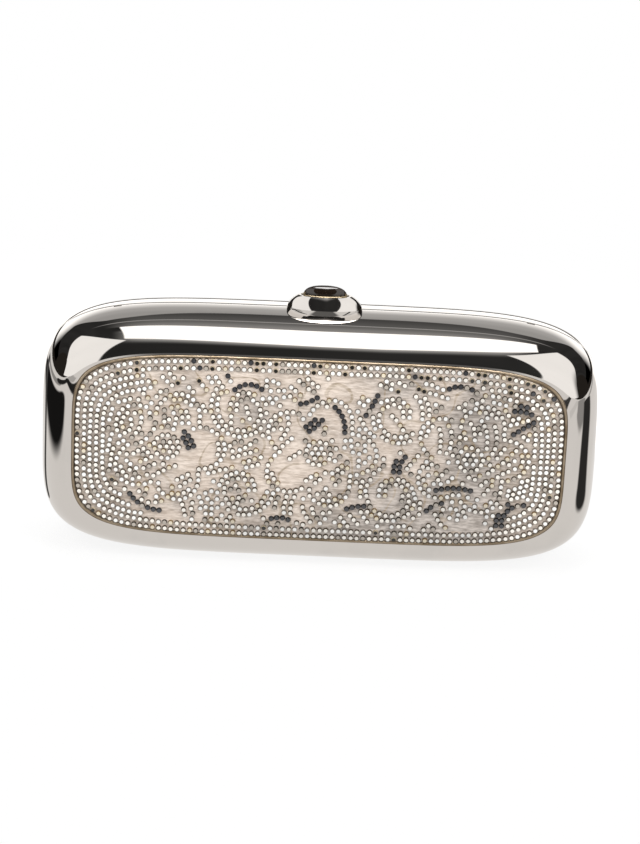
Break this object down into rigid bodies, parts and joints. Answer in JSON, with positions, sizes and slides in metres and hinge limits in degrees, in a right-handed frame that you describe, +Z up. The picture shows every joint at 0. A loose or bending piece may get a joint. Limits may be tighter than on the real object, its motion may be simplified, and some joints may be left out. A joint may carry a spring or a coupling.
{
  "type": "minaudiere",
  "caption": "Hard evening clutch: two polished metal shells hinged at the bottom, crystal-set padded panels, and a push-button clasp on top with a black cabochon.",
  "frame": {"origin": "centre of the rest face, under the middle of the clutch", "axes": "+X along the clutch, -Y out of the front panel, +Z up to the clasp; the shells part at Y = 0"},
  "size_m": [0.1844, 0.0442, 0.0943],
  "materials": {
    "polished_metal": "mirror-polished, warm gunmetal tone",
    "inner_metal": "plated, satin",
    "bezel_metal": "polished gold-brown wire",
    "brass_bush": "machined",
    "steel": "bright",
    "panel_board": "plain board under the fabric",
    "panel_fabric": "satin jacquard, silver-grey and ivory",
    "crystal": "foiled flat-back crystals",
    "lining_satin": "dark satin over a formed tray",
    "jet_stone": "polished black cabochon"
  },
  "bodies": {
    "back": {"back_shell": "polished_metal", "back_rim": "inner_metal", "back_plate": "inner_metal", "back_panel": "panel_board", "back_fabric": "panel_fabric", "back_bezel": "bezel_metal", "back_stones": "crystal", "back_lining": "lining_satin", "back_hinge_leaf": "inner_metal", "back_hinge_rivets": "steel", "hinge_pin": "steel", "catch_plate": "inner_metal", "catch_screws": "steel", "chain_eye_left": "polished_metal", "chain_eye_right": "polished_metal"},
    "lid": {"front_shell": "polished_metal", "front_rim": "inner_metal", "front_plate": "inner_metal", "front_panel": "panel_board", "front_fabric": "panel_fabric", "front_bezel": "bezel_metal", "front_stones": "crystal", "front_lining": "lining_satin", "front_hinge_leaf": "inner_metal", "front_hinge_rivets": "steel", "clasp_dome": "polished_metal", "clasp_screws": "steel", "latch_bracket": "inner_metal", "latch_pin": "steel", "latch_spring": "steel", "button_guide": "brass_bush", "button_spring": "steel"},
    "button": {"cabochon": "jet_stone", "cabochon_setting": "bezel_metal", "button_stem": "steel", "stem_clip": "steel"},
    "latch": {"latch_lever": "inner_metal"}
  },
  "joints": [
    {"name": "lid_hinge", "type": "hinge", "parent": "back", "child": "lid", "pos_m": [0, 0, 0.002], "axis": [1, 0, 0], "range_deg": [0, 80]},
    {"name": "button_press", "type": "slide", "parent": "lid", "child": "button", "axis": [0, 0, -1], "range_m": [0, 0.0015], "stiffness_N_per_m": 800, "deforming": ["button_spring"]},
    {"name": "latch_turn", "type": "hinge", "parent": "lid", "child": "latch", "pos_m": [0, -0.01, 0.07846], "axis": [-1, 0, 0], "range_deg": [0, 13], "stiffness_Nm_per_rad": 0.005}
  ],
  "couplings": [
    {"joint": "latch_turn", "follows": "button_press", "rad_per_m": 147.06}
  ]
}
